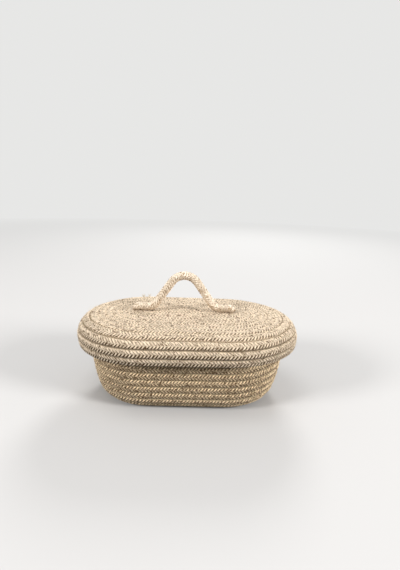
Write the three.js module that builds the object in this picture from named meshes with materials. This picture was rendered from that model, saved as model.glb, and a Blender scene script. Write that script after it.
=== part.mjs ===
// A lidded oval basket of braided jute cord. Each half is one cord, coiled flat from a straight
// strip and then turned, up for the wall and down for the lid's skirt, and sewn course to course.
// Millimetres, +Z up. The origin is the middle of the base, on the surface it stands on.
import * as THREE from "three";

// Cord and seam
const CORD = 10;
const PITCH = 9.7;
const COURSE_GAP = 0.6;
const CORD_FLAT = 5.2;
const STAND_FLAT = CORD / 10;
const CLEARANCE = 0.3;
const THREAD_REACH = 2;
const THREAD_DEPTH = 1.4;

// Plan: every course is two straight sides and two half round ends
const STRAIGHT = 100;
const LID_WIDTH = 200;

// Body, whose wall stands this far inside the lid's skirt from cord middle to cord middle
const OVERHANG = 18.6;
const CORNER_RADIUS = 25;
const CORNER_SWEEP = 72;
const WALL_BOW_RADIUS = 168;
const BODY_HALF_TURNS = 31;

// Lid, from its middle out and down
const DOME_FALL = 3;
const SHOULDER_RADIUS = 20;
const SHOULDER_END = 96;
const SKIRT_RADIUS = 40;
const LID_HALF_TURNS = 24;

// Handle, a half of it from the top of its arch out to the tip of a foot
const HANDLE_CORD = 12;
const HANDLE_RISE = 43.3;
const FOOT_LENGTH = 21.8;
const HANDLE_SHIFT = -5.9;
const ARCH_RADIUS = 21;
const LEG_SLOPE = 55;
const FOOT_RADIUS = 16;
const TIP_TAPER = 8;
const TIP_SCALE = 0.5;

// Stitches that hold each foot down
const STITCH_THREAD = 1.2;
const STITCH_PASSES = 4;

// How finely the round stretches are drawn
const STRAIGHT_STEPS = 2;
const ARC_STEPS = 10;
const HANDLE_STEPS = 36;
const HANDLE_SIDES = 8;
const STITCH_STEPS = 44;
const STITCH_SIDES = 4;

const HALF_TURN_STEPS = STRAIGHT_STEPS + ARC_STEPS;
const TURN_STEPS = 2 * HALF_TURN_STEPS;
const degrees = THREE.MathUtils.degToRad;

// A chain is a row of arcs and straight runs, each with a length and, where it bends, a radius
// that is positive where it bends up. Walking along it gives how far out and how high one is.
function walk(chain, distance) {
  let out = 0;
  let up = 0;
  let heading = 0;
  let left = distance;
  for (const run of chain) {
    const step = Math.min(left, run.length);
    if (run.radius) {
      const after = heading + step / run.radius;
      out += run.radius * (Math.sin(after) - Math.sin(heading));
      up += run.radius * (Math.cos(heading) - Math.cos(after));
      heading = after;
    } else {
      out += step * Math.cos(heading);
      up += step * Math.sin(heading);
    }
    left -= step;
  }
  return { out, up, heading };
}

const straightRun = (length) => ({ length, radius: 0 });
const arcRun = (radius, sweep) => ({ length: Math.abs(radius) * degrees(sweep), radius });

// The cord's section, pressed to flats inside and outside, as [along the profile, outward].
const sideReach = (PITCH - COURSE_GAP) / 2;
const faceReach = CORD / 2;
const cordSection = [
  [sideReach, 0],
  [CORD_FLAT / 2, faceReach],
  [-CORD_FLAT / 2, faceReach],
  [-sideReach, 0],
  [-CORD_FLAT / 2, -faceReach],
  [CORD_FLAT / 2, -faceReach],
];

// The seam's thread fills the foot of the groove between two courses. Facing +1 is the outer
// groove with the needle's thread, and -1 the inner one with the bobbin's, which closes up
// where the courses bend round towards each other.
const grooveSlope = (sideReach - CORD_FLAT / 2) / faceReach;
function threadSection(coil, facing) {
  const closing = facing > 0 ? 0 : PITCH / 2 / coil.tightest;
  const room = COURSE_GAP / 2 + (grooveSlope - closing) * THREAD_REACH;
  const half = room - CLEARANCE * Math.hypot(1, grooveSlope);
  return [
    [0, facing * (THREAD_REACH - THREAD_DEPTH)],
    [half, facing * THREAD_REACH],
    [-half, facing * THREAD_REACH],
  ];
}

// Joins rings of points into one closed tube with its faces pointing out.
function tube(rings) {
  const sides = rings[0].length;
  const faces = [];
  for (let ring = 0; ring + 1 < rings.length; ring++) {
    for (let side = 0; side < sides; side++) {
      const a = ring * sides + side;
      const b = ring * sides + ((side + 1) % sides);
      faces.push([a, b, b + sides], [a, b + sides, a + sides]);
    }
  }
  const last = (rings.length - 1) * sides;
  for (let side = 1; side + 1 < sides; side++) {
    faces.push([0, side + 1, side], [last, last + side, last + side + 1]);
  }
  const points = rings.flat();
  const volume = faces.reduce(
    (sum, [a, b, c]) => sum + points[a].dot(new THREE.Vector3().crossVectors(points[b], points[c])),
    0,
  );
  const outward = volume > 0 ? faces : faces.map(([a, b, c]) => [a, c, b]);
  const geometry = new THREE.BufferGeometry().setFromPoints(points);
  geometry.setIndex(outward.flat());
  geometry.computeVertexNormals();
  return geometry;
}

// One station of a coil. The coil starts as a straight strip beside the middle line and goes on
// in half turns, so that every course lies one pitch from the next all the way round.
function coilStation(coil, index, groove) {
  const half = Math.floor(index / HALF_TURN_STEPS);
  const step = index % HALF_TURN_STEPS;
  const flip = half % 2 ? -1 : 1;
  const side = coil.firstSide * flip;
  const travelled = (turns) => PITCH * (turns + 1 / 4) + groove;
  const here = walk(coil.chain, travelled(half / 2)).out;
  const next = walk(coil.chain, travelled((half + 1) / 2)).out;
  const turns = (half + (step - STRAIGHT_STEPS / 2) / HALF_TURN_STEPS) / 2;
  const { up, heading } = walk(coil.chain, travelled(turns));
  const centre = new THREE.Vector3();
  const outward = new THREE.Vector3();
  if (step < STRAIGHT_STEPS) {
    centre.set(flip * STRAIGHT * (step / STRAIGHT_STEPS - 1 / 2), side * here, up);
    outward.set(0, side, 0);
  } else {
    const angle = (Math.PI * (step - STRAIGHT_STEPS)) / ARC_STEPS;
    const radius = (here + next) / 2;
    outward.set(flip * Math.sin(angle), side * Math.cos(angle), 0);
    centre.set((flip * STRAIGHT) / 2, (side * (here - next)) / 2, up).addScaledVector(outward, radius);
  }
  return { centre, outward, heading };
}

// The rings of a coil, or of the thread in its grooves one half pitch further out.
function coilRings(coil, section, groove = 0, first = 0, last = coil.halfTurns * HALF_TURN_STEPS + STRAIGHT_STEPS) {
  const rings = [];
  for (let index = first; index <= last; index++) {
    const { centre, outward, heading } = coilStation(coil, index, groove);
    rings.push(
      section.map(([along, out]) => {
        const sideways = along * Math.cos(heading) + coil.facing * out * Math.sin(heading);
        const point = centre.clone().addScaledVector(outward, sideways);
        point.z += coil.level + along * Math.sin(heading) - coil.facing * out * Math.cos(heading);
        point.z = Math.max(point.z, 0);
        return point;
      }),
    );
  }
  return rings;
}

// The least distance between points of the same tube that lie at least a half round apart.
function leastGap(rings) {
  let least = Infinity;
  for (let a = 0; a < rings.length; a++) {
    for (let b = a + ARC_STEPS; b < rings.length; b++) {
      if (rings[a][0].distanceTo(rings[b][0]) > 2 * PITCH) continue;
      for (const p of rings[a]) for (const q of rings[b]) least = Math.min(least, p.distanceTo(q));
    }
  }
  return least;
}

// How far out the middle of each half's widest course lies
const lidMiddle = LID_WIDTH / 2 - CORD / 2;
const wallMiddle = lidMiddle - OVERHANG;

// Body coil: its outside faces down at the base, and its level is that of the flattened base
const cornerRise = Math.sin(degrees(CORNER_SWEEP));
const baseFlat = wallMiddle - CORNER_RADIUS * cornerRise - WALL_BOW_RADIUS * (1 - cornerRise);
const body = {
  firstSide: -1,
  facing: 1,
  level: CORD / 2 - STAND_FLAT,
  halfTurns: BODY_HALF_TURNS,
  tightest: CORNER_RADIUS,
  chain: [
    straightRun(baseFlat),
    arcRun(CORNER_RADIUS, CORNER_SWEEP),
    arcRun(WALL_BOW_RADIUS, 90 - CORNER_SWEEP),
    straightRun(Infinity),
  ],
};

// Lid coil: a shallow dome, the shoulder and the skirt that tucks in under it
const shoulderStart = lidMiddle - SHOULDER_RADIUS * (1 - Math.sin(degrees(DOME_FALL)));
const lid = {
  firstSide: 1,
  facing: -1,
  level: 0,
  halfTurns: LID_HALF_TURNS,
  tightest: SHOULDER_RADIUS,
  chain: [
    arcRun(-shoulderStart / Math.sin(degrees(DOME_FALL)), DOME_FALL),
    arcRun(-SHOULDER_RADIUS, SHOULDER_END - DOME_FALL),
    { length: Infinity, radius: -SKIRT_RADIUS },
  ],
};

// The lid comes down until its underside is one clearance above the body's last course
const bodyRings = coilRings(body, cordSection);
const rim = bodyRings.slice(-TURN_STEPS).flat();
const shoulderLength = SHOULDER_RADIUS * degrees(SHOULDER_END - DOME_FALL);
const undersideReach = lid.chain[0].length + shoulderLength;
const underside = [];
for (let along = 0; along < undersideReach; along += CLEARANCE) {
  const { out, up, heading } = walk(lid.chain, along);
  underside.push([out + faceReach * Math.sin(heading), up - faceReach * Math.cos(heading)]);
}
const outFromMiddle = (point) => Math.hypot(Math.max(Math.abs(point.x) - STRAIGHT / 2, 0), point.y);
const seats = rim.map((point) => {
  const above = underside.find(([out]) => out >= outFromMiddle(point)) ?? underside.at(-1);
  return point.z - above[1];
});
lid.level = Math.max(...seats) + CLEARANCE;
const lidRings = coilRings(lid, cordSection);

// Handle: one cord in the plane of the lid's length, with its two feet lying on the lid
const rounding = 1 - Math.cos(degrees(LEG_SLOPE));
const legLength = (HANDLE_RISE - (ARCH_RADIUS + FOOT_RADIUS) * rounding) / Math.sin(degrees(LEG_SLOPE));
const bends = [
  arcRun(-ARCH_RADIUS, LEG_SLOPE),
  straightRun(legLength),
  arcRun(FOOT_RADIUS, LEG_SLOPE),
];
const bendsLength = bends.reduce((sum, run) => sum + run.length, 0);
const footStart = walk(bends, bendsLength).out;
const handleChain = [...bends, straightRun(FOOT_LENGTH)];
const handleHalf = bendsLength + FOOT_LENGTH;
const lidTop = lid.level + CORD / 2;
const footMiddle = lidTop + CLEARANCE + HANDLE_CORD / 2;

function handleRings() {
  const rings = [];
  const corner = HANDLE_CORD / 2 / Math.cos(Math.PI / HANDLE_SIDES);
  for (let step = 0; step <= HANDLE_STEPS; step++) {
    const along = handleHalf * ((2 * step) / HANDLE_STEPS - 1);
    const side = Math.sign(along);
    const { out, up, heading } = walk(handleChain, Math.abs(along));
    const fromTip = handleHalf - Math.abs(along);
    const scale = TIP_SCALE + (1 - TIP_SCALE) * Math.sqrt(Math.min(fromTip / TIP_TAPER, 1));
    const ring = [];
    for (let corners = 0; corners < HANDLE_SIDES; corners++) {
      const angle = (Math.PI * (2 * corners + 1)) / HANDLE_SIDES;
      const across = corner * scale * Math.cos(angle);
      const above = corner * scale * Math.sin(angle);
      ring.push(
        new THREE.Vector3(
          HANDLE_SHIFT + side * (out - above * Math.sin(heading)),
          across,
          footMiddle + HANDLE_RISE + up + above * Math.cos(heading) - (1 - scale) * (HANDLE_CORD / 2),
        ),
      );
    }
    rings.push(ring);
  }
  return rings;
}

// One thread that whips over the flat of a foot and goes on along the lid between its passes
const passSpacing = (FOOT_LENGTH - TIP_TAPER) / (STITCH_PASSES - 1);
function footStitches(side) {
  const ring = HANDLE_CORD / 2 / Math.cos(Math.PI / HANDLE_SIDES) + CLEARANCE + STITCH_THREAD;
  const low = lidTop + CLEARANCE + STITCH_THREAD;
  const points = [];
  for (let pass = 0; pass < STITCH_PASSES; pass++) {
    const x = footStart + pass * passSpacing;
    const way = pass % 2 ? -1 : 1;
    points.push(new THREE.Vector3(HANDLE_SHIFT + side * x, -way * ring, low));
    for (const turn of [45, 90, 135]) {
      const y = -way * ring * Math.cos(degrees(turn));
      const z = footMiddle + ring * Math.sin(degrees(turn));
      points.push(new THREE.Vector3(HANDLE_SHIFT + side * x, y, z));
    }
    points.push(new THREE.Vector3(HANDLE_SHIFT + side * x, way * ring, low));
  }
  const section = new THREE.Shape();
  for (let corner = 0; corner < STITCH_SIDES; corner++) {
    const angle = (2 * Math.PI * corner) / STITCH_SIDES;
    const x = (STITCH_THREAD / 2) * Math.cos(angle);
    const y = (STITCH_THREAD / 2) * Math.sin(angle);
    if (corner) section.lineTo(x, y);
    else section.moveTo(x, y);
  }
  section.closePath();
  const extrudePath = new THREE.CatmullRomCurve3(points);
  return new THREE.ExtrudeGeometry(section, { steps: STITCH_STEPS, curveSegments: 1, extrudePath });
}

// Materials
const matte = (color) => new THREE.MeshStandardMaterial({ color, roughness: 0.9, metalness: 0 });
const sideCord = matte(0xcbb38c);
const lidCord = matte(0xd9c7a3);
const paleCord = matte(0xdecbb0);
const seamThread = matte(0xbca27a);
const bobbinThread = matte(0xd8ccb2);
const footThread = matte(0xe4dac2);

function piece(name, geometry, material) {
  const mesh = new THREE.Mesh(geometry, material);
  mesh.name = name;
  return mesh;
}

// The seam starts between the first two strips and ends where the last course does
function seam(coil, facing) {
  const last = (coil.halfTurns - 2) * HALF_TURN_STEPS + STRAIGHT_STEPS;
  return tube(coilRings(coil, threadSection(coil, facing), PITCH / 2, 0, last));
}

console.log("least gap of the body cord to itself, mm:", leastGap(bodyRings).toFixed(2));
console.log("least gap of the lid cord to itself, mm:", leastGap(lidRings).toFixed(2));

const basket = new THREE.Group();
basket.add(
  piece("body_cord", tube(bodyRings), sideCord),
  piece("body_needle_thread", seam(body, 1), seamThread),
  piece("body_bobbin_thread", seam(body, -1), bobbinThread),
);
const lidGroup = new THREE.Group();
lidGroup.add(
  piece("lid_cord", tube(lidRings), lidCord),
  piece("lid_needle_thread", seam(lid, 1), seamThread),
  piece("lid_bobbin_thread", seam(lid, -1), bobbinThread),
  piece("handle_cord", tube(handleRings()), paleCord),
  piece("handle_stitches_left", footStitches(-1), footThread),
  piece("handle_stitches_right", footStitches(1), footThread),
);
basket.add(lidGroup);

export default basket;
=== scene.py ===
# The looks of a lidded oval basket of braided jute cord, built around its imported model.
# Metres, +Z up. The origin is the middle of the base, on the surface it stands on.
import math

import bpy
import numpy as np
from mathutils import Matrix, Vector


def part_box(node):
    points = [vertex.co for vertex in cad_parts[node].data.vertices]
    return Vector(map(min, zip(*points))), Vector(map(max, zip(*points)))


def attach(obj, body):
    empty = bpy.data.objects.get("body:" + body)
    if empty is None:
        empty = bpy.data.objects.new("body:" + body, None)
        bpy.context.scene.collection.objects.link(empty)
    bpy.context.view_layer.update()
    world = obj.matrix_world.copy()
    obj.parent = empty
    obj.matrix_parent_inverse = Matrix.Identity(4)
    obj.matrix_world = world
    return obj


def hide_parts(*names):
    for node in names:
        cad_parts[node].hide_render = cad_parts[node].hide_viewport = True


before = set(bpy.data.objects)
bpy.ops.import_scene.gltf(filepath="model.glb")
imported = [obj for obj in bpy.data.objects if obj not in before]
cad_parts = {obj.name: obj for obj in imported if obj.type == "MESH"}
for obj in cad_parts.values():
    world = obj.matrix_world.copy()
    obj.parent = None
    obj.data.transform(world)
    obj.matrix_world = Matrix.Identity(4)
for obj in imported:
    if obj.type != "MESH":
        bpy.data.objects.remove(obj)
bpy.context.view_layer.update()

MM = 0.001

# Camera: the photograph's place and slant, with its frame of 400 by 570
PHOTO_HEIGHT = 570
FOCAL_PIXELS = 420
SENSOR = 36
CAMERA_PLACE = (9.4 * MM, -554.9 * MM, 283.6 * MM)
CAMERA_YAW = -0.010
CAMERA_PITCH = -0.233
CAMERA_ROLL = 0.0323

# Cord and plan, as in the model. The first strip lies START_TURN of a pitch off the middle line.
CORD = 10 * MM
PITCH = 9.7 * MM
STRAIGHT = 100 * MM
STAND_FLAT = 1 * MM
START_TURN = 1 / 4
LID_MIDDLE = 95 * MM
OVERHANG = 18.6 * MM
CORNER_RADIUS = 25 * MM
CORNER_SWEEP = math.radians(72)
WALL_BOW_RADIUS = 168 * MM
BODY_HALF_TURNS = 31
DOME_FALL = math.radians(3)
SHOULDER_RADIUS = 20 * MM
SHOULDER_END = math.radians(96)
SKIRT_RADIUS = 40 * MM
LID_HALF_TURNS = 24

# A half turn climbs evenly over this many steps, of which the first two are its straight side.
# A turn has four runs: two straight sides and two round ends.
HALF_TURN_STEPS = 12
STRAIGHT_STEPS = 2
RUNS_IN_A_TURN = 4

# How fast the pressed sole thins out towards the standing surface
SOLE_FADE = 2

# Handle: a half of it from the top of its arch out to the tip of a foot
HANDLE_CORD = 12 * MM
HANDLE_RISE = 43.3 * MM
HANDLE_SHIFT = -5.9 * MM
ARCH_RADIUS = 21 * MM
LEG_SLOPE = math.radians(55)
FOOT_RADIUS = 16 * MM
FOOT_LENGTH = 21.8 * MM
FOOT_SINK = 0.6 * MM
FOOT_PRESS = 0.14
TIP_ROUNDING = 10 * MM
TIP_DROP = 0.7

# Braid: rows of slanted strands round the cord, leaning by turns one way and the other
ROWS = 6
ROW_SAMPLES = 3
STRAND_PITCH = 4.2 * MM
HANDLE_STRAND_PITCH = 3.6 * MM
PITCH_SAMPLES = 5
STRAND_LEAN = 1.15
STRAND_WIDTH = 0.76
ROW_EDGE = 0.65
ROW_EDGE_POWER = 3
STRAND_RELIEF = 1.5 * MM
SIDE_RELIEF = 0.6 * MM
HANDLE_RELIEF = 1.3 * MM
SIDE_PRESS = 0.25 * MM
FLAT_PRESS = 0.4 * MM

# The cord's section is a circle pressed towards a square, most where the courses lie flat
BODY_POWER = 2.8
LID_POWER = 5.0
FLAT_POWER = 7.0
FLAT_FADE = math.radians(80)
SECTION_SAMPLES = 1440

# Painted shade in the braid's hollows: lighter where they face up, as if lit from above, only
# FLAT_SHADE of it where the courses lie flat, and in the grooves of a wall no less than the last two
# say
SKY_LIGHT = 0.75
FLAT_SHADE = 0.68
GROOVE_START = 0.8
BODY_GROOVE_SHADE = 0.8
LID_GROOVE_SHADE = 0.35

# Unevenness of the cord along its length, its rounded ends and its tapered tail
TWIST = math.radians(12)
TWIST_LENGTH = 380 * MM
SWELL = 0.02
SWELL_LENGTH = 50 * MM
END_ROUNDING = 4 * MM
TAIL_TAPER = 28 * MM
TAIL_SCALE = 0.35
TAIL_POWER = 0.6

# Seam: a zigzag thread that spans each groove, outside and inside
THREAD = 0.5 * MM
ZIGZAG_LEG = 2.9 * MM
ZIGZAG_REACH = 2.1 * MM
THREAD_LEVEL = 3.9 * MM
THREAD_DIP = 0.9 * MM
THREAD_SAG = 0.7 * MM
THREAD_UNEVEN = 0.12
LEG_SAMPLES = 4
THREAD_SIDES = 5
HALF_TURNS_UNSEWN = 2

# Whip stitches over the handle's feet
FOOT_THREAD = 0.7 * MM
STITCH_TURNS = 4
STITCH_SAMPLES = 40

# Stray fibres that stand off the jute, with the shares of each cord's length that have them
FIBRE = 0.11 * MM
FIBRE_SAMPLES = 6
FIBRE_SIDES = 3
FIBRES = 1500
FIBRE_LENGTHS = (3 * MM, 9 * MM)
FIBRE_ANGLES = (math.radians(25), math.radians(155))
FIBRE_RISE = 0.9
FIBRE_DROOP = 0.6
FIBRE_DRIFT = 0.5
FIBRE_CURL = 1
FIBRE_TAPER = 0.9
FIBRE_TAPER_POWER = 3
BODY_FIBRES = (0.3, 0.8)
LID_FIBRES = (0.0, 0.95)

# Frayed ends at the back of the lid
TUFTS = {
    "lid_left_tuft": (-72 * MM, 85 * MM, 108 * MM),
    "lid_right_tuft": (-63 * MM, 86 * MM, 108 * MM),
}
TUFT_FIBRES = 60
TUFT_SPREAD = 0.8 * MM
TUFT_LENGTHS = (2 * MM, 3 * MM)
TUFT_RISE = 5.0

random = np.random.default_rng(11)


# Camera
camera_data = bpy.data.cameras.new("camera")
camera_data.sensor_width = SENSOR
camera_data.lens = SENSOR * FOCAL_PIXELS / PHOTO_HEIGHT
camera = bpy.data.objects.new("camera", camera_data)
camera.matrix_world = (
    Matrix.Translation(CAMERA_PLACE)
    @ Matrix.Rotation(CAMERA_YAW, 4, "Z")
    @ Matrix.Rotation(math.pi / 2 + CAMERA_PITCH, 4, "X")
    @ Matrix.Rotation(CAMERA_ROLL, 4, "Z")
)
bpy.context.scene.collection.objects.link(camera)
bpy.context.scene.camera = camera


# Lines along the cords
def walk(chain, distance):
    """Follows a chain of (length, radius) runs, where a positive radius bends up, and gives how
    far out, how high and how steep each distance along it is."""
    out = np.zeros_like(distance)
    up = np.zeros_like(distance)
    heading = np.zeros_like(distance)
    left = distance.copy()
    for length, radius in chain:
        step = np.minimum(left, length)
        if radius:
            after = heading + step / radius
            out += radius * (np.sin(after) - np.sin(heading))
            up += radius * (np.cos(heading) - np.cos(after))
            heading = after
        else:
            out += step * np.cos(heading)
            up += step * np.sin(heading)
        left = left - step
    return out, up, heading


def wander(along, spacing, reach):
    """A smooth random drift along a cord, from -reach to reach, with a new value every spacing."""
    knots = random.uniform(-reach, reach, int(along.max() / spacing) + 2)
    index = (along / spacing).astype(int)
    part = along / spacing - index
    part = part * part * (3 - 2 * part)
    return knots[index] * (1 - part) + knots[index + 1] * part


def rounded_end(distance, reach):
    """Grows from 0 to 1 like the outline of a ball over this reach from an end."""
    part = np.clip(distance / reach, 0, 1)
    return np.sqrt(1 - (1 - part) ** 2)


class Coil:
    """A cord that starts as a straight strip beside the middle line and goes on in half turns."""

    def __init__(self, first_side, facing, level, half_turns, chain):
        self.first_side = first_side
        self.facing = facing
        self.level = level
        self.half_turns = half_turns
        self.chain = chain

    def reaches(self, groove):
        """How far out from the middle line each straight side lies."""
        halves = np.arange(self.half_turns + 2)
        return walk(self.chain, PITCH * (halves / 2 + START_TURN) + groove)[0]

    def run_starts(self, groove=0.0):
        """Where each straight side and each round end starts, and where the last one ends."""
        reach = self.reaches(groove)
        lengths = []
        for half in range(self.half_turns):
            lengths += [STRAIGHT, math.pi * (reach[half] + reach[half + 1]) / 2]
        lengths.append(STRAIGHT)
        return np.concatenate([[0], np.cumsum(lengths)])

    def stations(self, along, groove=0.0):
        """Middle, outward direction and slope of the cord, or of a line that lies this far beside
        it along the profile."""
        starts = self.run_starts(groove)
        reach = self.reaches(groove)
        run = np.clip(np.searchsorted(starts, along, side="right") - 1, 0, len(starts) - 2)
        part = (along - starts[run]) / (starts[run + 1] - starts[run])
        half = run // 2
        is_round = run % 2 == 1
        round_step = STRAIGHT_STEPS + (HALF_TURN_STEPS - STRAIGHT_STEPS) * part
        step = np.where(is_round, round_step, STRAIGHT_STEPS * part)
        turns = (half + (step - STRAIGHT_STEPS / 2) / HALF_TURN_STEPS) / 2
        flip = np.where(half % 2, -1.0, 1.0)
        side = self.first_side * flip
        _, up, heading = walk(self.chain, PITCH * (turns + START_TURN) + groove)
        angle = np.where(is_round, math.pi * part, 0.0)
        out_x = flip * np.sin(angle)
        out_y = side * np.cos(angle)
        radius = (reach[half] + reach[half + 1]) / 2
        round_x = flip * STRAIGHT / 2 + radius * out_x
        round_y = side * (reach[half] - reach[half + 1]) / 2 + radius * out_y
        x = np.where(is_round, round_x, flip * STRAIGHT * (part - 1 / 2))
        y = np.where(is_round, round_y, side * reach[half])
        middle = np.stack([x, y, self.level + up], -1)
        outward = np.stack([out_x, out_y, np.zeros_like(out_x)], -1)
        return middle, outward, heading

    def place(self, along, sideways, out, groove=0.0):
        """Points this far sideways along the profile, and this far out of it."""
        middle, outward, heading = self.stations(along, groove)
        upward = np.array([0.0, 0.0, 1.0])
        cosine = np.cos(heading)[..., None]
        sine = np.sin(heading)[..., None]
        across = outward * cosine + upward * sine
        normal = self.facing * (outward * sine - upward * cosine)
        return middle + sideways[..., None] * across + out[..., None] * normal


# Meshes
def make_mesh(name, points, faces, body, material):
    """A smooth mesh object of four-sided faces that rides on a body."""
    mesh = bpy.data.meshes.new(name)
    mesh.vertices.add(len(points))
    mesh.vertices.foreach_set("co", np.asarray(points, np.float32).ravel())
    mesh.loops.add(faces.size)
    mesh.loops.foreach_set("vertex_index", faces.ravel().astype(np.int32))
    mesh.polygons.add(len(faces))
    mesh.polygons.foreach_set("loop_start", np.arange(0, faces.size, faces.shape[1], dtype=np.int32))
    mesh.update(calc_edges=True)
    mesh.polygons.foreach_set("use_smooth", np.full(len(faces), True))
    mesh.materials.append(material)
    piece = bpy.data.objects.new(name, mesh)
    bpy.context.scene.collection.objects.link(piece)
    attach(piece, body)
    return piece


def ring_faces(rings, sides):
    """The four-sided faces between neighbouring rings of points."""
    ring = np.arange(rings - 1)[:, None]
    side = np.arange(sides)[None, :]
    here = ring * sides + side
    beside = ring * sides + (side + 1) % sides
    return np.stack([here, beside, beside + sides, here + sides], -1).reshape(-1, 4)


def tube_along(points, normals, radius, sides):
    """Rings of a thin tube that follows a line of points, closed to a point at both ends."""
    tangent = np.gradient(points, axis=0)
    tangent /= np.linalg.norm(tangent, axis=1, keepdims=True)
    flank = np.cross(tangent, normals)
    flank /= np.linalg.norm(flank, axis=1, keepdims=True)
    rise = np.cross(flank, tangent)
    angle = 2 * math.pi * np.arange(sides) / sides
    ring = np.cos(angle)[None, :, None] * flank[:, None] + np.sin(angle)[None, :, None] * rise[:, None]
    ring[0] = 0
    ring[-1] = 0
    return points[:, None] + radius * ring


def pressed(level):
    """Presses what would reach below the standing surface into a thin rough sole above it."""
    sole = STAND_FLAT * math.exp(-SOLE_FADE)
    squeezed = STAND_FLAT * np.exp(np.minimum(level - STAND_FLAT, 0) / STAND_FLAT) - sole
    return np.where(level < STAND_FLAT, np.maximum(squeezed, 0), level - sole)


# Braid
def strand_height(phase, row_part):
    """How high a strand stands, by how far one is across it and along its row."""
    across = np.abs(phase - np.round(phase)) * 2 / STRAND_WIDTH
    crown = np.sqrt(np.clip(1 - across**2, 0, 1))
    edge = np.abs(row_part * 2 - 1)
    return crown * (1 - (1 - ROW_EDGE) * edge**ROW_EDGE_POWER)


def braid_rings(length, pitch):
    """Samples of a braid's surface: along the cord, round it, and the height of its strands.
    Each ring zigzags with the strands, so that crests and valleys run along its edges."""
    sides = ROWS * ROW_SAMPLES
    rings = int(length / pitch * PITCH_SAMPLES) + 1
    side = np.arange(sides)
    row = side // ROW_SAMPLES
    part = (side % ROW_SAMPLES) / ROW_SAMPLES
    lean = np.where(row % 2, -1.0, 1.0)
    phase = np.arange(rings)[:, None] / PITCH_SAMPLES + np.zeros(sides)
    along = (phase - lean * (part - 1 / 2) * STRAND_LEAN) * pitch
    own = strand_height(phase + (row % 2) / 2, part)
    before = strand_height(phase + ((row - 1) % 2) / 2, np.ones(sides))
    height = np.where(part == 0, np.maximum(own, before), own)
    angle = (row + part + 1 / 2) / ROWS * 2 * math.pi + np.zeros_like(phase)
    return np.clip(along, 0, length), angle, height


def section_line(power):
    """Evenly spaced places round a circle of radius 1 that is pressed towards a square."""
    angle = np.linspace(0, 2 * math.pi, SECTION_SAMPLES)
    cosine = np.cos(angle)
    sine = np.sin(angle)
    x = np.sign(cosine) * np.abs(cosine) ** (2 / power)
    y = np.sign(sine) * np.abs(sine) ** (2 / power)
    reach = np.concatenate([[0], np.cumsum(np.hypot(np.diff(x), np.diff(y)))])
    even = np.linspace(0, reach[-1], SECTION_SAMPLES)
    return np.interp(even, reach, x), np.interp(even, reach, y)


def section(angle, round_power, flatness):
    """The cord's section at this angle, between its section on a wall and its flat one."""
    share = angle / (2 * math.pi) % 1
    spots = np.linspace(0, 1, SECTION_SAMPLES)
    on_wall = [np.interp(share, spots, line) for line in section_line(round_power)]
    on_flat = [np.interp(share, spots, line) for line in section_line(FLAT_POWER)]
    return [wall + flatness * (flat - wall) for wall, flat in zip(on_wall, on_flat)]


def braided_mesh(name, points, painted_shade, body, material):
    """A braid's mesh, which keeps on each face corner how many strands along and how many rows
    round it lies, and on each point how much painted shade it gets in the braid's hollows."""
    rings, sides = painted_shade.shape
    piece = make_mesh(name, points.reshape(-1, 3), ring_faces(rings, sides), body, material)
    ring = np.repeat(np.arange(rings - 1), sides)
    side = np.tile(np.arange(sides), rings - 1)
    offset = (side // ROW_SAMPLES % 2 / 2)[:, None]
    count = np.stack([ring, ring, ring + 1, ring + 1], -1) / PITCH_SAMPLES + offset
    around = np.stack([side, side + 1, side + 1, side], -1) / ROW_SAMPLES
    values = np.stack([count.ravel(), around.ravel()], -1).astype(np.float32)
    lay = piece.data.attributes.new("lay", "FLOAT2", "CORNER")
    lay.data.foreach_set("vector", values.ravel())
    shade = piece.data.attributes.new("painted_shade", "FLOAT", "POINT")
    shade.data.foreach_set("value", painted_shade.astype(np.float32).ravel())
    return piece


def painted_hollow_shade(height, above_middle, sky_light):
    """Painted shade at each place of a braid, by its strand's height and its height on the cord:
    darker down between strands and on the cord's underside.
    """
    return (1 - height) * (1 - sky_light * np.clip(above_middle / (CORD / 2), -1, 1))


def coiled_cord(name, coil, round_power, groove_shade, node, body, material):
    """The braided cord of a coil, in place of the model's plain one."""
    length = coil.run_starts()[-1]
    along, angle, height = braid_rings(length, STRAND_PITCH)
    middle_line = along[:, 0]
    twist = wander(middle_line, TWIST_LENGTH, TWIST)[:, None]
    swell = 1 + wander(middle_line, SWELL_LENGTH, SWELL)[:, None]
    tail = np.clip((length - along) / TAIL_TAPER, 0, 1) ** TAIL_POWER
    ends = rounded_end(along, END_ROUNDING) * rounded_end(length - along, END_ROUNDING)
    scale = ends * (TAIL_SCALE + (1 - TAIL_SCALE) * tail) * swell
    heading = np.abs(coil.stations(along)[2])
    flatness = np.clip(1 - heading / FLAT_FADE, 0, 1)
    sideways, out = section(angle + twist, round_power, flatness)
    press = SIDE_PRESS + FLAT_PRESS * flatness
    sideways *= (PITCH / 2 + press - SIDE_RELIEF * (1 - height)) * scale
    out *= (CORD / 2 - STRAND_RELIEF * (1 - height)) * scale
    # Painted shade in the grooves between courses, none on the free edge of the last turn
    painted_groove_shade = np.clip(np.abs(sideways) / (PITCH / 2) - GROOVE_START, 0, 1) / (1 - GROOVE_START)
    outer_turn = coil.run_starts()[-1 - RUNS_IN_A_TURN]
    free_edge = (along > outer_turn) & (sideways > 0)
    painted_groove_shade *= groove_shade * (1 - flatness) ** 2 * ~free_edge
    sideways -= (1 - tail) * (1 - TAIL_SCALE) * PITCH / 2
    points = coil.place(along, sideways, out)
    nowhere = np.zeros_like(along)
    above_middle = points[..., 2] - coil.place(along, nowhere, nowhere)[..., 2]
    # Painted shade down between the strands, lighter on the cord's upper side as if lit from above
    shade = painted_hollow_shade(height, above_middle, SKY_LIGHT * (1 - flatness))
    shade *= 1 - (1 - FLAT_SHADE) * flatness
    painted_shade = np.maximum(shade, painted_groove_shade)
    points[..., 2] = pressed(points[..., 2])
    piece = braided_mesh(name, points, painted_shade, body, material)
    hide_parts(node)


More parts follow.
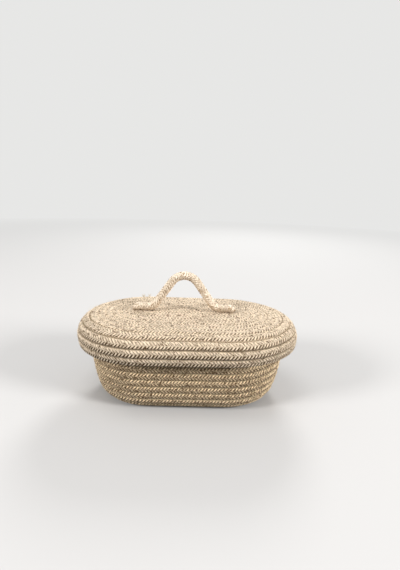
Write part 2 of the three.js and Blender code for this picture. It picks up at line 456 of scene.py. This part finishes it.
def zigzag_seam(name, coil, outer, node, body, material):
    """A lockstitch zigzag along a coil's grooves, outside or inside. It ends where the last turn
    has no course beyond it to be sewn to."""
    sewn_half_turns = coil.half_turns - HALF_TURNS_UNSEWN
    length = coil.run_starts(PITCH / 2)[2 * sewn_half_turns + 1]
    samples = int(length / ZIGZAG_LEG) * LEG_SAMPLES
    leg = np.arange(samples) / LEG_SAMPLES
    swing = 1 - 2 * np.abs(leg % 2 - 1)
    uneven = 1 + random.uniform(-THREAD_UNEVEN, THREAD_UNEVEN, samples)
    in_hole = np.abs(swing) == 1
    side = 1.0 if outer else -1.0
    out = side * (THREAD_LEVEL - THREAD_DIP * in_hole - THREAD_SAG * (1 - np.abs(swing)))
    sideways = swing * ZIGZAG_REACH * uneven
    points = coil.place(leg * ZIGZAG_LEG, sideways, out, PITCH / 2)
    above = coil.place(leg * ZIGZAG_LEG, sideways, out + side * CORD, PITCH / 2)
    rings = tube_along(points, (above - points) / CORD, THREAD / 2, THREAD_SIDES)
    rings[..., 2] = pressed(rings[..., 2])
    faces = ring_faces(len(points), THREAD_SIDES)
    piece = make_mesh(name, rings.reshape(-1, 3), faces, body, material)
    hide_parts(node)


# Stray fibres
def hairs(bases, normals, tangents, lengths, rise):
    """Points and faces of fine hairs that leave a surface and curl back along it."""
    part = np.linspace(0, 1, FIBRE_SAMPLES)[None, :, None]
    flank = np.cross(normals, tangents)
    curl = random.uniform(-FIBRE_CURL, FIBRE_CURL, (len(bases), 1, 1))
    drift = random.uniform(-FIBRE_DRIFT, FIBRE_DRIFT, (len(bases), 1, 1))
    forward = tangents[:, None] * part
    outward = normals[:, None] * rise * (part - FIBRE_DROOP * part**2)
    beside = flank[:, None] * (drift * part + curl * part**2)
    path = bases[:, None] + lengths[:, None, None] * (forward + outward + beside)
    angle = 2 * math.pi * np.arange(FIBRE_SIDES) / FIBRE_SIDES
    ring = np.cos(angle)[:, None] * flank[:, None] + np.sin(angle)[:, None] * normals[:, None]
    thickness = FIBRE / 2 * (1 - FIBRE_TAPER * np.abs(2 * part - 1) ** FIBRE_TAPER_POWER)
    points = path[:, :, None] + thickness[..., None] * ring[:, None]
    faces = ring_faces(FIBRE_SAMPLES, FIBRE_SIDES)
    offsets = np.arange(len(bases)) * FIBRE_SAMPLES * FIBRE_SIDES
    return points.reshape(-1, 3), (faces[None] + offsets[:, None, None]).reshape(-1, 4)


def coil_hairs(name, coil, shares, body, material):
    """Hairs on the outside of a coil, between two shares of its length."""
    length = coil.run_starts()[-1]
    along = random.uniform(*shares, FIBRES) * length
    angle = random.uniform(*FIBRE_ANGLES, FIBRES)
    sideways = (PITCH / 2 - STRAND_RELIEF) * np.cos(angle)
    out = (CORD / 2 - STRAND_RELIEF / 2) * np.sin(angle)
    bases = coil.place(along, sideways, out)
    middle = coil.place(along, np.zeros(FIBRES), np.zeros(FIBRES))
    normals = (bases - middle) / np.linalg.norm(bases - middle, axis=1, keepdims=True)
    ahead = coil.place(along + MM, sideways, out) - bases
    tangents = ahead / np.linalg.norm(ahead, axis=1, keepdims=True)
    tangents *= random.choice([-1, 1], (FIBRES, 1))
    lengths = random.uniform(*FIBRE_LENGTHS, FIBRES)
    points, faces = hairs(bases, normals, tangents, lengths, FIBRE_RISE)
    points[:, 2] = np.maximum(points[:, 2], 0)
    make_mesh(name, points, faces, body, material)


# Materials
JUTE_ROUGHNESS = 0.9
THREAD_ROUGHNESS = 0.85
STAGE_ROUGHNESS = 0.9
MATTE_SPECULAR = 0.2
JUTE_SHEEN = 0.06
JUTE_BUMP = 0.3 * MM
JUTE_BUMP_STRENGTH = 0.7
THREAD_MOTTLE = 900.0
THREAD_DARK = 0.6

FLOAT = "NodeSocketFloat"
COLOR = "NodeSocketColor"
VECTOR = "NodeSocketVector"


def new_group(name, inputs, outputs):
    """A shader node group with named sockets."""
    group = bpy.data.node_groups.new(name, "ShaderNodeTree")
    for label, kind, value in inputs:
        socket = group.interface.new_socket(label, in_out="INPUT", socket_type=kind)
        socket.default_value = value
    for label, kind in outputs:
        group.interface.new_socket(label, in_out="OUTPUT", socket_type=kind)
    return group


def feed(tree, socket, value):
    """Links a socket to another node's output, or sets it to a plain value."""
    if isinstance(value, bpy.types.NodeSocket):
        tree.links.new(value, socket)
    else:
        socket.default_value = value


def math_node(tree, operation, *values, clamp=False):
    """An arithmetic node on values, which are plain numbers or other nodes' outputs."""
    node = tree.nodes.new("ShaderNodeMath")
    node.operation = operation
    node.use_clamp = clamp
    for socket, value in zip(node.inputs, values):
        feed(tree, socket, value)
    return node.outputs[0]


def mix_colors(tree, factor, first, second):
    """The first colour at factor 0, and the second at factor 1."""
    node = tree.nodes.new("ShaderNodeMix")
    node.data_type = "RGBA"
    for label, value in (("Factor_Float", factor), ("A_Color", first), ("B_Color", second)):
        socket = next(s for s in node.inputs if s.identifier == label)
        feed(tree, socket, value)
    return next(s for s in node.outputs if s.identifier == "Result_Color")


def noise(tree, coordinates, stretch, detail, roughness):
    """Noise over coordinates that are first stretched, one factor for each of the three."""
    scale = tree.nodes.new("ShaderNodeVectorMath")
    scale.operation = "MULTIPLY"
    scale.inputs[1].default_value = stretch
    tree.links.new(coordinates, scale.inputs[0])
    node = tree.nodes.new("ShaderNodeTexNoise")
    node.inputs["Scale"].default_value = 1.0
    node.inputs["Detail"].default_value = detail
    node.inputs["Roughness"].default_value = roughness
    tree.links.new(scale.outputs[0], node.inputs["Vector"])
    return node.outputs["Fac"]


def ramp(tree, value, low, high):
    """Grows from 0 to 1 as a value goes from low to high."""
    node = tree.nodes.new("ShaderNodeMapRange")
    node.inputs["From Min"].default_value = low
    node.inputs["From Max"].default_value = high
    tree.links.new(value, node.inputs["Value"])
    return node.outputs["Result"]


def braid_lay_group():
    """Where a point lies on the braid: which strand, how far across and along it, and how much painted
    shade it gets.
    """
    outputs = [("Strand", VECTOR), ("Yarn", VECTOR), ("Across", FLOAT), ("Painted Shade", FLOAT)]
    group = new_group("braid lay", [], outputs)
    lay = group.nodes.new("ShaderNodeAttribute")
    lay.attribute_name = "lay"
    painted_shade = group.nodes.new("ShaderNodeAttribute")
    painted_shade.attribute_name = "painted_shade"
    split = group.nodes.new("ShaderNodeSeparateXYZ")
    group.links.new(lay.outputs["Vector"], split.inputs[0])
    count = math_node(group, "ROUND", split.outputs["X"])
    across = math_node(group, "SUBTRACT", split.outputs["X"], count)
    row = math_node(group, "FLOOR", split.outputs["Y"])
    row_part = math_node(group, "FRACT", split.outputs["Y"])
    strand = group.nodes.new("ShaderNodeCombineXYZ")
    group.links.new(count, strand.inputs[0])
    group.links.new(row, strand.inputs[1])
    # Far apart in the noise, so that no two strands share a stretch of it
    count_step = 7.31
    row_step = 3.17
    row_place = math_node(group, "MULTIPLY", row, row_step)
    yarn = group.nodes.new("ShaderNodeCombineXYZ")
    group.links.new(across, yarn.inputs[0])
    group.links.new(row_part, yarn.inputs[1])
    group.links.new(math_node(group, "MULTIPLY_ADD", count, count_step, row_place), yarn.inputs[2])
    sink = group.nodes.new("NodeGroupOutput")
    group.links.new(strand.outputs[0], sink.inputs["Strand"])
    group.links.new(yarn.outputs[0], sink.inputs["Yarn"])
    group.links.new(across, sink.inputs["Across"])
    group.links.new(painted_shade.outputs["Fac"], sink.inputs["Painted Shade"])
    return group


def jute_group(lay_group):
    """Heathered jute: strands of differing tone, fibre streaks, brown flecks, and painted shade mixed
    towards brown in the valleys and grooves.
    """
    inputs = [
        ("Pale", COLOR, (0.8, 0.7, 0.5, 1)),
        ("Tan", COLOR, (0.5, 0.4, 0.25, 1)),
        ("Brown", COLOR, (0.2, 0.12, 0.06, 1)),
        ("Fleck Share", FLOAT, 0.3),
        ("Dark Strands", FLOAT, 0.3),
        ("Valley Shade", FLOAT, 0.5),
    ]
    group = new_group("heathered jute", inputs, [("Color", COLOR), ("Height", FLOAT)])
    source = group.nodes.new("NodeGroupInput")
    lay = group.nodes.new("ShaderNodeGroup")
    lay.node_tree = lay_group
    tone = group.nodes.new("ShaderNodeTexWhiteNoise")
    tone.noise_dimensions = "3D"
    group.links.new(lay.outputs["Strand"], tone.inputs["Vector"])
    place = group.nodes.new("ShaderNodeTexCoord")
    patch_stretch = (28.0, 28.0, 28.0)
    fibre_stretch = (9.0, 2.2, 1.0)
    fleck_stretch = (4.2, 2.2, 1.3)
    patch = noise(group, place.outputs["Object"], patch_stretch, detail=2.0, roughness=0.5)
    fibre = noise(group, lay.outputs["Yarn"], fibre_stretch, detail=3.0, roughness=0.6)
    fleck = noise(group, lay.outputs["Yarn"], fleck_stretch, detail=1.0, roughness=0.4)

    tone_share = 0.35
    fibre_share = 0.4
    patch_share = 0.3
    fibre_tone = math_node(group, "MULTIPLY_ADD", fibre, fibre_share, -fibre_share / 2)
    strand_tone = math_node(group, "MULTIPLY_ADD", tone.outputs["Value"], tone_share, fibre_tone)
    patch_tone = math_node(group, "MULTIPLY_ADD", patch, patch_share, -patch_share / 2)
    blend = math_node(group, "ADD", strand_tone, patch_tone, clamp=True)
    cloth = mix_colors(group, blend, source.outputs["Pale"], source.outputs["Tan"])

    fleck_rarity = 0.78
    fleck_sharpness = 8.0
    threshold = math_node(group, "SUBTRACT", fleck_rarity, source.outputs["Fleck Share"])
    over = math_node(group, "SUBTRACT", fleck, threshold)
    fleck_mask = math_node(group, "MULTIPLY", over, fleck_sharpness, clamp=True)
    dark_strand = ramp(group, tone.outputs["Value"], low=0.82, high=0.9)
    dark_share = math_node(group, "MULTIPLY", dark_strand, source.outputs["Dark Strands"])
    fleck_share = math_node(group, "MAXIMUM", fleck_mask, dark_share)
    flecked = mix_colors(group, fleck_share, cloth, source.outputs["Brown"])

    # Painted shade: the braid's hollows and grooves are mixed towards the brown
    valley = ramp(group, lay.outputs["Painted Shade"], low=0.1, high=0.85)
    shade = math_node(group, "MULTIPLY", valley, source.outputs["Valley Shade"])
    shaded = mix_colors(group, shade, flecked, source.outputs["Brown"])

    # Two yarns lie side by side in each strand
    two_yarns = math_node(group, "MULTIPLY", lay.outputs["Across"], 2 * math.pi)
    ply = math_node(group, "ABSOLUTE", math_node(group, "SINE", two_yarns))
    ply_share = 0.5
    height = math_node(group, "MULTIPLY_ADD", ply, ply_share, fibre)
    sink = group.nodes.new("NodeGroupOutput")
    group.links.new(shaded, sink.inputs["Color"])
    group.links.new(height, sink.inputs["Height"])
    return group


def matte_material(name, roughness):
    """A matte material and its node tree and shader."""
    material = bpy.data.materials.new(name)
    material.use_nodes = True
    shader = material.node_tree.nodes["Principled BSDF"]
    shader.inputs["Roughness"].default_value = roughness
    shader.inputs["Specular IOR Level"].default_value = MATTE_SPECULAR
    return material, material.node_tree, shader


def jute_material(name, group, pale, tan, brown, fleck_share, dark_strands, valley_shade):
    """Heathered jute in these colours, finely bumped by its fibres."""
    material, tree, shader = matte_material(name, JUTE_ROUGHNESS)
    jute = tree.nodes.new("ShaderNodeGroup")
    jute.node_tree = group
    for label, color in (("Pale", pale), ("Tan", tan), ("Brown", brown)):
        jute.inputs[label].default_value = (*color, 1)
    jute.inputs["Fleck Share"].default_value = fleck_share
    jute.inputs["Dark Strands"].default_value = dark_strands
    jute.inputs["Valley Shade"].default_value = valley_shade
    tree.links.new(jute.outputs["Color"], shader.inputs["Base Color"])
    bump = tree.nodes.new("ShaderNodeBump")
    bump.inputs["Distance"].default_value = JUTE_BUMP
    bump.inputs["Strength"].default_value = JUTE_BUMP_STRENGTH
    tree.links.new(jute.outputs["Height"], bump.inputs["Height"])
    tree.links.new(bump.outputs["Normal"], shader.inputs["Normal"])
    shader.inputs["Sheen Weight"].default_value = JUTE_SHEEN
    return material


def thread_material(name, color):
    """Sewing thread or loose fibre, mottled between its colour and a darker one."""
    material, tree, shader = matte_material(name, THREAD_ROUGHNESS)
    place = tree.nodes.new("ShaderNodeTexCoord")
    stretch = (THREAD_MOTTLE, THREAD_MOTTLE, THREAD_MOTTLE)
    mottle = noise(tree, place.outputs["Object"], stretch, detail=2.0, roughness=0.6)
    dark = tuple(THREAD_DARK * part for part in color)
    tree.links.new(mix_colors(tree, mottle, (*color, 1), (*dark, 1)), shader.inputs["Base Color"])
    return material


heathered = jute_group(braid_lay_group())
# Body and lid are one jute: the body's paler, warmer colours are painted light, standing in for warm
# light thrown back onto its wall
body_jute = jute_material(
    "body jute",
    heathered,
    pale=(1.0, 0.79, 0.52),
    tan=(0.88, 0.635, 0.365),
    brown=(0.085, 0.038, 0.01),
    fleck_share=0.26,
    dark_strands=0.3,
    valley_shade=1.2,
)
lid_jute = jute_material(
    "lid jute",
    heathered,
    pale=(0.88, 0.73, 0.55),
    tan=(0.735, 0.58, 0.40),
    brown=(0.09, 0.043, 0.012),
    fleck_share=0.24,
    dark_strands=0.2,
    valley_shade=1.25,
)
handle_jute = jute_material(
    "handle jute",
    heathered,
    pale=(0.97, 0.85, 0.70),
    tan=(0.80, 0.64, 0.45),
    brown=(0.28, 0.17, 0.075),
    fleck_share=0.26,
    dark_strands=0.4,
    valley_shade=0.4,
)
needle_thread = thread_material("needle thread", (0.62, 0.48, 0.30))
bobbin_thread = thread_material("bobbin thread", (0.78, 0.66, 0.48))
foot_thread = thread_material("foot thread", (0.86, 0.74, 0.58))
loose_fibre = thread_material("loose fibre", (0.88, 0.76, 0.56))


# Body: a flat base, a corner and a wall that bows
def body():
    wall_middle = LID_MIDDLE - OVERHANG
    corner_rise = math.sin(CORNER_SWEEP)
    base_flat = wall_middle - CORNER_RADIUS * corner_rise - WALL_BOW_RADIUS * (1 - corner_rise)
    coil = Coil(
        first_side=-1,
        facing=1,
        level=CORD / 2 - STAND_FLAT,
        half_turns=BODY_HALF_TURNS,
        chain=[
            (base_flat, 0),
            (CORNER_RADIUS * CORNER_SWEEP, CORNER_RADIUS),
            (WALL_BOW_RADIUS * (math.pi / 2 - CORNER_SWEEP), WALL_BOW_RADIUS),
            (math.inf, 0),
        ],
    )
    coiled_cord("body_braid", coil, BODY_POWER, BODY_GROOVE_SHADE, "body_cord", "basket", body_jute)
    zigzag_seam(
        "body_outer_seam", coil, True, "body_needle_thread", "basket", needle_thread
    )
    zigzag_seam(
        "body_inner_seam", coil, False, "body_bobbin_thread", "basket", bobbin_thread
    )
    coil_hairs("body_stray_fibres", coil, BODY_FIBRES, "basket", loose_fibre)


# Lid: a shallow dome, a shoulder and a skirt that tucks in
lid_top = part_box("lid_cord")[1].z


def lid():
    shoulder_start = LID_MIDDLE - SHOULDER_RADIUS * (1 - math.sin(DOME_FALL))
    dome_radius = shoulder_start / math.sin(DOME_FALL)
    coil = Coil(
        first_side=1,
        facing=-1,
        level=lid_top - CORD / 2,
        half_turns=LID_HALF_TURNS,
        chain=[
            (dome_radius * DOME_FALL, -dome_radius),
            (SHOULDER_RADIUS * (SHOULDER_END - DOME_FALL), -SHOULDER_RADIUS),
            (math.inf, -SKIRT_RADIUS),
        ],
    )
    coiled_cord("lid_braid", coil, LID_POWER, LID_GROOVE_SHADE, "lid_cord", "lid", lid_jute)
    zigzag_seam("lid_outer_seam", coil, True, "lid_needle_thread", "lid", needle_thread)
    zigzag_seam("lid_inner_seam", coil, False, "lid_bobbin_thread", "lid", bobbin_thread)
    coil_hairs("lid_stray_fibres", coil, LID_FIBRES, "lid", loose_fibre)


# Handle: an arch whose feet lie on the lid
rounding = 1 - math.cos(LEG_SLOPE)
leg_length = (HANDLE_RISE - (ARCH_RADIUS + FOOT_RADIUS) * rounding) / math.sin(LEG_SLOPE)
handle_bends = [
    (ARCH_RADIUS * LEG_SLOPE, -ARCH_RADIUS),
    (leg_length, 0),
    (FOOT_RADIUS * LEG_SLOPE, FOOT_RADIUS),
]
bends_length = sum(length for length, radius in handle_bends)
leg_end = ARCH_RADIUS * LEG_SLOPE + leg_length
foot_start = walk(handle_bends, np.array([bends_length]))[0][0]
handle_half = bends_length + FOOT_LENGTH
foot_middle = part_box("handle_cord")[1].z - HANDLE_CORD / 2 - HANDLE_RISE


def handle_place(along, across, above):
    """Points this far from the top of the arch, with minus to the left, and off its middle line."""
    side = np.sign(along)
    out, up, heading = walk([*handle_bends, (math.inf, 0)], np.abs(along))
    x = HANDLE_SHIFT + side * (out - above * np.sin(heading))
    z = foot_middle + HANDLE_RISE + up + above * np.cos(heading)
    return np.stack([x, across, z], -1)


def handle():
    along, angle, height = braid_rings(2 * handle_half, HANDLE_STRAND_PITCH)
    from_middle = along - handle_half
    scale = rounded_end(handle_half - np.abs(from_middle), TIP_ROUNDING)
    radius = (HANDLE_CORD / 2 - HANDLE_RELIEF * (1 - height)) * scale
    drop = TIP_DROP * (1 - scale) * HANDLE_CORD / 2
    points = handle_place(from_middle, radius * np.cos(angle), radius * np.sin(angle) - drop)
    lying = np.clip((np.abs(from_middle) - leg_end) / (bends_length - leg_end), 0, 1)
    level = points[..., 2] - FOOT_PRESS * lying * (points[..., 2] - lid_top)
    sink = FOOT_SINK * np.clip((foot_middle - level) / (HANDLE_CORD / 2), 0, 1)
    points[..., 2] = np.maximum(level - sink, lid_top - FOOT_SINK)
    nowhere = np.zeros_like(radius)
    above_middle = points[..., 2] - handle_place(from_middle, nowhere, nowhere)[..., 2]
    # Painted shade down between the handle's strands, lighter on its upper side as if lit from above
    painted_shade = painted_hollow_shade(height, above_middle, SKY_LIGHT)
    piece = braided_mesh("handle_braid", points, painted_shade, "lid", handle_jute)
    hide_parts("handle_cord")


def foot_stitches(name, side, node):
    """One thread that whips round a foot, and under it between the foot and the lid."""
    ring = HANDLE_CORD / 2
    turn = np.arange(STITCH_SAMPLES * STITCH_TURNS) / STITCH_SAMPLES
    angle = 2 * math.pi * turn
    reach = (FOOT_LENGTH - TIP_ROUNDING) / STITCH_TURNS
    x = HANDLE_SHIFT + side * (foot_start + turn * reach)
    y = -ring * np.cos(angle)
    above_lid = np.maximum(foot_middle + ring * np.sin(angle) - lid_top, 0)
    z = lid_top + (1 - FOOT_PRESS) * above_lid
    points = np.stack([x, y, z], -1)
    normals = np.stack([np.zeros_like(x), y, z - foot_middle], -1)
    rings = tube_along(points, normals, FOOT_THREAD / 2, THREAD_SIDES)
    faces = ring_faces(len(points), THREAD_SIDES)
    piece = make_mesh(name, rings.reshape(-1, 3), faces, "lid", foot_thread)
    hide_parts(node)


def tufts():
    """Frayed ends that stand off the back of the lid's shoulder."""
    for name, place in TUFTS.items():
        spread = random.uniform(-TUFT_SPREAD, TUFT_SPREAD, (TUFT_FIBRES, 3))
        bases = np.array(place) + spread
        turn = random.uniform(0, 2 * math.pi, TUFT_FIBRES)
        tangents = np.stack([np.cos(turn), np.sin(turn), np.zeros(TUFT_FIBRES)], -1)
        normals = np.tile([0.0, 0.0, 1.0], (TUFT_FIBRES, 1))
        lengths = random.uniform(*TUFT_LENGTHS, TUFT_FIBRES)
        points, faces = hairs(bases, normals, tangents, lengths, TUFT_RISE)
        make_mesh(name, points, faces, "lid", loose_fibre)


body()
lid()
tufts()
handle()
foot_stitches("left_foot_stitches", -1, "handle_stitches_left")
foot_stitches("right_foot_stitches", 1, "handle_stitches_right")


# Stage: a pale round floor, which throws back less light than it shows and fades far off into
# the pale backdrop
STAGE_RADIUS = 12.0
STAGE_SIDES = 96
STAGE_SHOWN = (0.62, 0.61, 0.60, 1)
STAGE_THROWN = (0.18, 0.18, 0.18, 1)
BACKDROP = (0.80, 0.80, 0.79, 1)
FADE_START = 0.5
FADE_END = 3.0


def stage_material():
    """Pale to the camera and darker to the light, and more and more like the backdrop far off."""
    material, tree, shader = matte_material("stage", STAGE_ROUGHNESS)
    seen = tree.nodes.new("ShaderNodeLightPath").outputs["Is Camera Ray"]
    place = tree.nodes.new("ShaderNodeTexCoord")
    reach = tree.nodes.new("ShaderNodeVectorMath")
    reach.operation = "LENGTH"
    tree.links.new(place.outputs["Object"], reach.inputs[0])
    fade = math_node(tree, "MULTIPLY", ramp(tree, reach.outputs["Value"], FADE_START, FADE_END), seen)
    shown = mix_colors(tree, seen, STAGE_THROWN, STAGE_SHOWN)
    black = (0, 0, 0, 1)
    tree.links.new(mix_colors(tree, fade, shown, black), shader.inputs["Base Color"])
    tree.links.new(mix_colors(tree, fade, black, BACKDROP), shader.inputs["Emission Color"])
    shader.inputs["Emission Strength"].default_value = 1
    shader.inputs["Specular IOR Level"].default_value = 0
    return material


def round_stage():
    turns = [2 * math.pi * side / STAGE_SIDES for side in range(STAGE_SIDES)]
    points = [(STAGE_RADIUS * math.cos(turn), STAGE_RADIUS * math.sin(turn), 0) for turn in turns]
    mesh = bpy.data.meshes.new("stage")
    mesh.from_pydata(points, [], [tuple(range(STAGE_SIDES))])
    mesh.materials.append(stage_material())
    stage = bpy.data.objects.new("stage", mesh)
    bpy.context.scene.collection.objects.link(stage)


round_stage()


# Light: soft, mostly from the two sides in front, with a weaker lamp behind, a faint one above
# and an even light from all round
def area_light(name, place, size, power):
    """A round soft lamp that shines at the basket's middle."""
    data = bpy.data.lights.new(name, "AREA")
    data.shape = "DISK"
    data.size = size
    data.energy = power
    lamp = bpy.data.objects.new(name, data)
    toward = Vector((0, 0, lid_top)) - Vector(place)
    turn = toward.to_track_quat("-Z", "Y").to_matrix().to_4x4()
    lamp.matrix_world = Matrix.Translation(place) @ turn
    bpy.context.scene.collection.objects.link(lamp)


area_light("above", place=(-0.4, -0.4, 2.3), size=1.2, power=10)
area_light("front left", place=(-2.45, -1.55, 1.4), size=0.9, power=70)
area_light("front right", place=(2.5, -1.45, 1.3), size=0.9, power=84)
area_light("back", place=(0.4, 2.3, 1.6), size=0.9, power=40)

AMBIENT = (0.37, 0.37, 0.37, 1)
world = bpy.data.worlds.new("world")
world.use_nodes = True
world_seen = world.node_tree.nodes.new("ShaderNodeLightPath").outputs["Is Camera Ray"]
sky = mix_colors(world.node_tree, world_seen, AMBIENT, BACKDROP)
world.node_tree.links.new(sky, world.node_tree.nodes["Background"].inputs["Color"])
bpy.context.scene.world = world
bpy.context.scene.view_settings.view_transform = "Standard"
